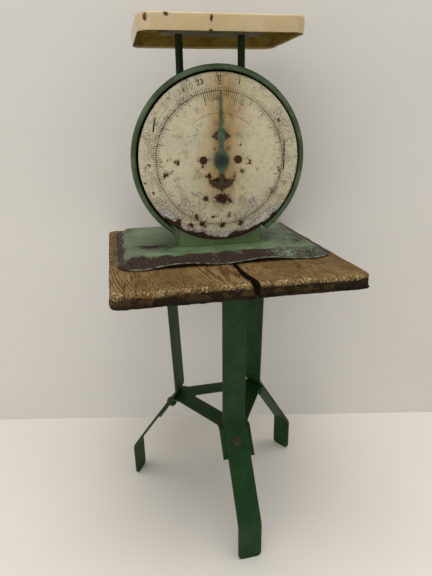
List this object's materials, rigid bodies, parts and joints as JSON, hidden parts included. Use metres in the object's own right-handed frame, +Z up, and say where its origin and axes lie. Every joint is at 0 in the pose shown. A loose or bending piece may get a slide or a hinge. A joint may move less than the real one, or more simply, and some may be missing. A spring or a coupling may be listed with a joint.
{
  "type": "platform scale",
  "caption": "Spring platform scale: cream pan on two rods over a round dial drum, on a low pressed base, fixed to a wood-topped three-legged steel stand.",
  "frame": {"origin": "on the floor under the centre of the wood top", "axes": "+Z up, -Y towards the person reading the dial, +X to the reader's right"},
  "size_m": [0.298, 0.331, 0.662],
  "materials": {
    "weathered_wood": "weathered softwood, dark oil stain, worn arrises and a long split",
    "stand_paint": "deep green enamel, semi-gloss, scuffed",
    "sage_paint": "sage green enamel, worn, with brown rust along the edges",
    "drum_paint": "grey-green enamel, satin, slightly worn",
    "cream_enamel": "cream enamel, chipped at the corners",
    "dial_enamel": "cream dial enamel with rust spots, stains and chips",
    "pointer_paint": "green enamel, rusty at the edges",
    "rusty_steel": "brown rust on plain steel",
    "steel": "bare steel, dull",
    "brass": "dull brass"
  },
  "bodies": {
    "stand": {"wood_top": "weathered_wood", "leg_front": "stand_paint", "leg_left": "stand_paint", "leg_right": "stand_paint", "leg_brace": "stand_paint", "brace_bolts": "stand_paint", "brace_nuts": "stand_paint", "leg_screws": "rusty_steel", "base_shell": "sage_paint", "neck": "sage_paint", "neck_rivets": "sage_paint", "hold_down_bolts": "rusty_steel", "hold_down_spacers": "steel", "hold_down_nuts": "steel", "drum_band": "drum_paint", "band_brackets": "steel", "band_screws": "rusty_steel", "back_cover": "drum_paint", "cover_screws": "rusty_steel", "dial_plate": "dial_enamel", "dial_screws": "rusty_steel", "dial_pillars": "steel", "movement_frame": "steel", "rod_bushes": "brass", "shaft_bushes": "brass", "rack_guide": "steel", "guide_screws": "steel", "spring_left": "steel", "spring_right": "steel"},
    "carriage": {"platform": "cream_enamel", "platform_bracket": "steel", "rod_nuts": "steel", "rod_left": "stand_paint", "rod_right": "stand_paint", "yoke": "steel", "yoke_pins": "steel", "rack": "brass", "rack_screws": "steel"},
    "pointer_shaft": {"pointer": "pointer_paint", "pointer_nut": "pointer_paint", "pinion_shaft": "steel", "shaft_collar": "brass"},
    "hanger": {"spring_hanger": "steel"},
    "zero_adjuster": {"zero_nut": "brass"}
  },
  "joints": [
    {"name": "platform_slide", "type": "slide", "parent": "stand", "child": "carriage", "axis": [0, 0, -1], "range_m": [0, 0.025], "stiffness_N_per_m": 4280, "springref_m": -0.0022, "deforming": ["spring_left", "spring_right"]},
    {"name": "pointer_turn", "type": "hinge", "parent": "stand", "child": "pointer_shaft", "pos_m": [0, 0.0175, 0.503], "axis": [0, 1, 0], "range_deg": [0, 358.2]},
    {"name": "zero_nut_turn", "type": "hinge", "parent": "stand", "child": "zero_adjuster", "pos_m": [0, 0.0175, 0.615], "axis": [0, 0, 1], "range_deg": [-360, 360]},
    {"name": "hanger_slide", "type": "slide", "parent": "stand", "child": "hanger", "axis": [0, 0, 1], "range_m": [-0.0009, 0.0009]}
  ],
  "couplings": [
    {"joint": "pointer_turn", "follows": "platform_slide", "rad_per_m": 250},
    {"joint": "hanger_slide", "follows": "zero_nut_turn", "m_per_rad": -0.00012732}
  ]
}
